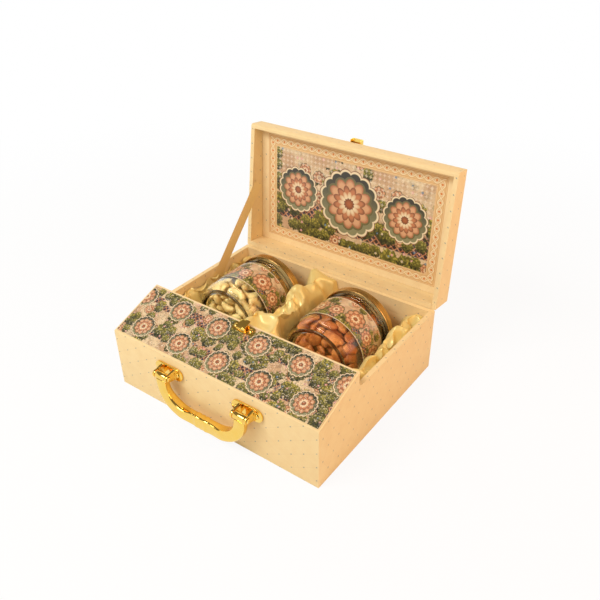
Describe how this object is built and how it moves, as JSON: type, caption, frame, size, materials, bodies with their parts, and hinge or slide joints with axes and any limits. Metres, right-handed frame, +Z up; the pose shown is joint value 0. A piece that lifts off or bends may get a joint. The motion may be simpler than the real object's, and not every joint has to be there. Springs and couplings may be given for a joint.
{
  "type": "briefcase gift box",
  "caption": "Paper-wrapped briefcase gift box with a sloped deck, hinged wedge lid, ribbon stay, cast gold handle, press catch and a satin nest holding filled glass jars.",
  "frame": {"origin": "on the table under the middle of the case", "axes": "+Z up, the handle and sloped deck face -Y, the lid hinges along X at the back"},
  "size_m": [0.26, 0.2799, 0.2248],
  "materials": {
    "wrap": "board covered with matt cream paper, small dots",
    "deck_print": "embossed print with a glittering varnish",
    "picture_print": "satin print inside a patterned border",
    "satin": "loose gold satin",
    "ribbon": "woven satin ribbon",
    "foam": "soft wadding strip",
    "gold_plate": "bright gold plate",
    "glass": "clear",
    "label_print": "printed sleeve",
    "cap_gold": "lacquered gold tinplate",
    "liner": "white disc",
    "cashew": "dry kernels",
    "almond": "dry kernels in brown skins"
  },
  "bodies": {
    "case": {"case_back": "wrap", "case_base": "wrap", "case_front": "wrap", "case_left": "wrap", "case_right": "wrap", "deck_board": "wrap", "deck_print_card": "deck_print", "deck_riser": "wrap", "foam_left": "foam", "foam_middle": "foam", "foam_right": "foam", "satin_lining": "satin", "hinge_paper_case": "wrap", "ribbon_stay": "ribbon", "handle_bracket_left": "gold_plate", "handle_bracket_right": "gold_plate", "handle_pin_left": "gold_plate", "handle_pin_right": "gold_plate", "bracket_screw_1": "gold_plate", "bracket_screw_2": "gold_plate", "bracket_screw_3": "gold_plate", "bracket_screw_4": "gold_plate", "catch_base": "gold_plate", "catch_pin": "gold_plate", "catch_screw_1": "gold_plate", "catch_screw_2": "gold_plate"},
    "lid": {"lid_back": "wrap", "lid_front": "wrap", "lid_left": "wrap", "lid_right": "wrap", "lid_top": "wrap", "lid_picture_card": "picture_print", "hinge_paper_lid": "wrap", "catch_hood": "gold_plate", "hood_screw_1": "gold_plate", "hood_screw_2": "gold_plate"},
    "handle": {"handle_grip": "gold_plate"},
    "catch": {"catch_lever": "gold_plate"},
    "jar_left": {"jar_glass_left": "glass", "jar_label_left": "label_print", "cashews_left": "cashew"},
    "liner_left": {"cap_liner_left": "liner"},
    "cap_left": {"jar_cap_left": "cap_gold"},
    "jar_right": {"jar_glass_right": "glass", "jar_label_right": "label_print", "almonds_right": "almond"},
    "liner_right": {"cap_liner_right": "liner"},
    "cap_right": {"jar_cap_right": "cap_gold"}
  },
  "joints": [
    {"name": "lid_hinge", "type": "hinge", "parent": "case", "child": "lid", "pos_m": [0, 0.1086, 0.0753], "axis": [-1, 0, 0], "range_deg": [-97.5, 0], "deforming": ["ribbon_stay"]},
    {"name": "handle_swing", "type": "hinge", "parent": "case", "child": "handle", "pos_m": [0, -0.12, 0.0535], "axis": [-1, 0, 0], "range_deg": [-8, 180]},
    {"name": "catch_press", "type": "hinge", "parent": "case", "child": "catch", "pos_m": [0, -0.05498, 0.0936], "axis": [-1, 0, 0], "range_deg": [0, 8], "stiffness_Nm_per_rad": 0.05},
    {"name": "jar_left_lift", "type": "slide", "parent": "case", "child": "jar_left", "axis": [0, 0, 1], "range_m": [0, 0.12]},
    {"name": "cap_left_rise", "type": "slide", "parent": "jar_left", "child": "liner_left", "axis": [0, 1, 0], "range_m": [0, 0.004]},
    {"name": "cap_left_turn", "type": "hinge", "parent": "liner_left", "child": "cap_left", "pos_m": [-0.0676, 0.0743, 0.0489], "axis": [0, 1, 0], "range_deg": [0, 360]},
    {"name": "jar_right_lift", "type": "slide", "parent": "case", "child": "jar_right", "axis": [0, 0, 1], "range_m": [0, 0.12]},
    {"name": "cap_right_rise", "type": "slide", "parent": "jar_right", "child": "liner_right", "axis": [0, 1, 0], "range_m": [0, 0.004]},
    {"name": "cap_right_turn", "type": "hinge", "parent": "liner_right", "child": "cap_right", "pos_m": [0.056, 0.0718, 0.0489], "axis": [0, 1, 0], "range_deg": [0, 360]}
  ],
  "couplings": [
    {"joint": "cap_left_rise", "follows": "cap_left_turn", "m_per_rad": 0.000636},
    {"joint": "cap_right_rise", "follows": "cap_right_turn", "m_per_rad": 0.000636}
  ]
}
